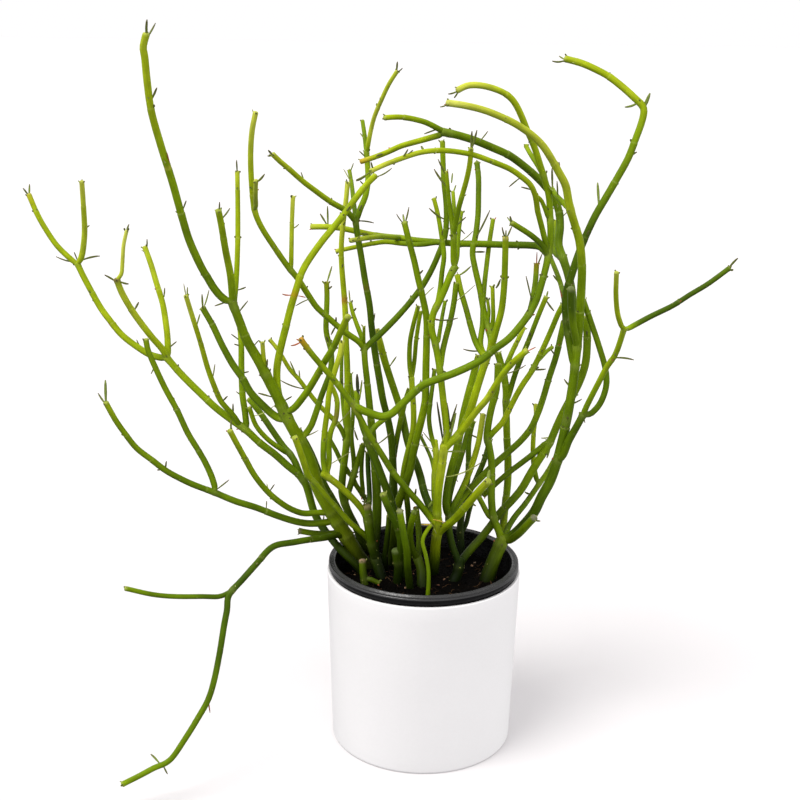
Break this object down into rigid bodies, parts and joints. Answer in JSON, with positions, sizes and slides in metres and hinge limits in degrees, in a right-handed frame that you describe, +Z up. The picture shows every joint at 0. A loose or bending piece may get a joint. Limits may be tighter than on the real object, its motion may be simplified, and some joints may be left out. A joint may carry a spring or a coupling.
{
  "type": "potted pencil cactus",
  "caption": "Bushy pencil cactus with bare branching green stems, rooted in soil in a black grower pot that stands inside a white cylindrical cover pot.",
  "frame": {"origin": "centre of the cover pot's flat underside", "axes": "+Z up along the pots' axis, +X to the right and +Y to the back as seen from the viewing side"},
  "size_m": [0.7241, 0.3292, 0.7406],
  "materials": {
    "white_ceramic": "satin",
    "black_plastic": "satin",
    "potting_mix": "matte",
    "fresh_green_stem": "satin",
    "deep_green_stem": "satin"
  },
  "bodies": {
    "root": {"cover_pot": "white_ceramic", "grower_pot": "black_plastic", "soil": "potting_mix", "left_trunk": "deep_green_stem", "far_left": "fresh_green_stem", "fork_stem": "fresh_green_stem", "pale_stem": "deep_green_stem", "tall_stem": "fresh_green_stem", "lean_stem": "fresh_green_stem", "centre_trunk": "fresh_green_stem", "vee_stem": "fresh_green_stem", "right_trunk": "fresh_green_stem", "plain_stem": "fresh_green_stem", "thin_stem": "deep_green_stem", "stub_fork": "fresh_green_stem", "tan_stub": "fresh_green_stem", "round_stub": "fresh_green_stem", "front_stub": "fresh_green_stem", "slim_stem": "deep_green_stem", "front_shoot": "fresh_green_stem", "back_stem": "deep_green_stem"}
  },
  "joints": []
}
